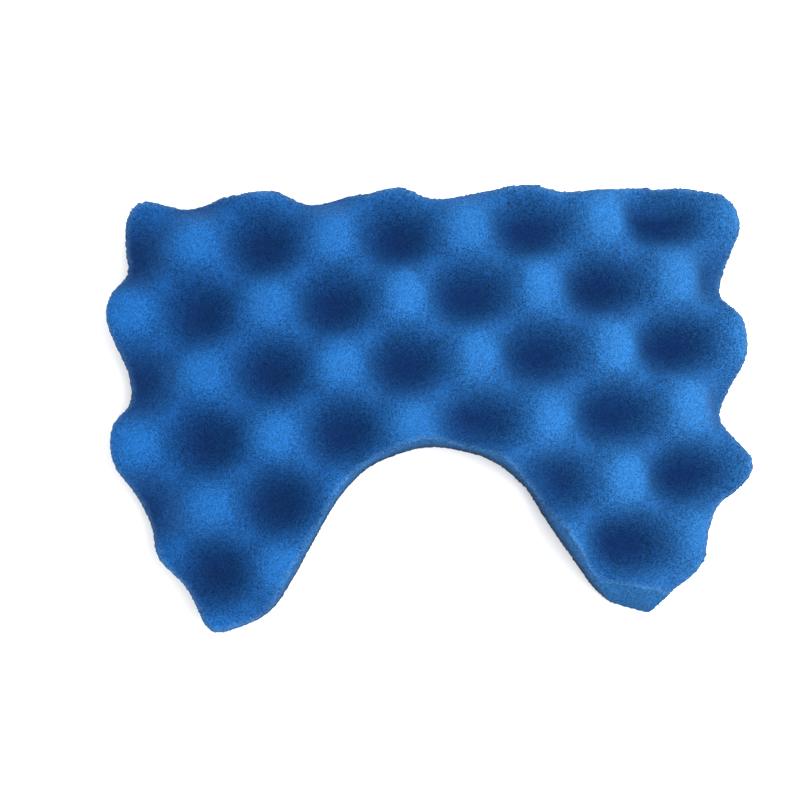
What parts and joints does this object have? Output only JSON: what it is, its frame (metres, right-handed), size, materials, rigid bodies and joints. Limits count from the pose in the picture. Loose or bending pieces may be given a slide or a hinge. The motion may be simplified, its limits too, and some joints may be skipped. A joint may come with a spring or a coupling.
{
  "type": "egg-crate filter foam",
  "caption": "Flat-backed pad of open-cell filter foam with an egg-crate face, wavy cut edges and an arched notch in one long side.",
  "frame": {"origin": "centre of the bounding box on the flat back", "axes": "+X along the long uncut side, +Y towards that side and away from the arched notch, +Z from the flat back to the domed face"},
  "size_m": [0.1502, 0.106, 0.021],
  "materials": {
    "foam": "matt open-cell polyurethane foam, dyed blue through"
  },
  "bodies": {
    "root": {"foam_pad": "foam"}
  },
  "joints": []
}
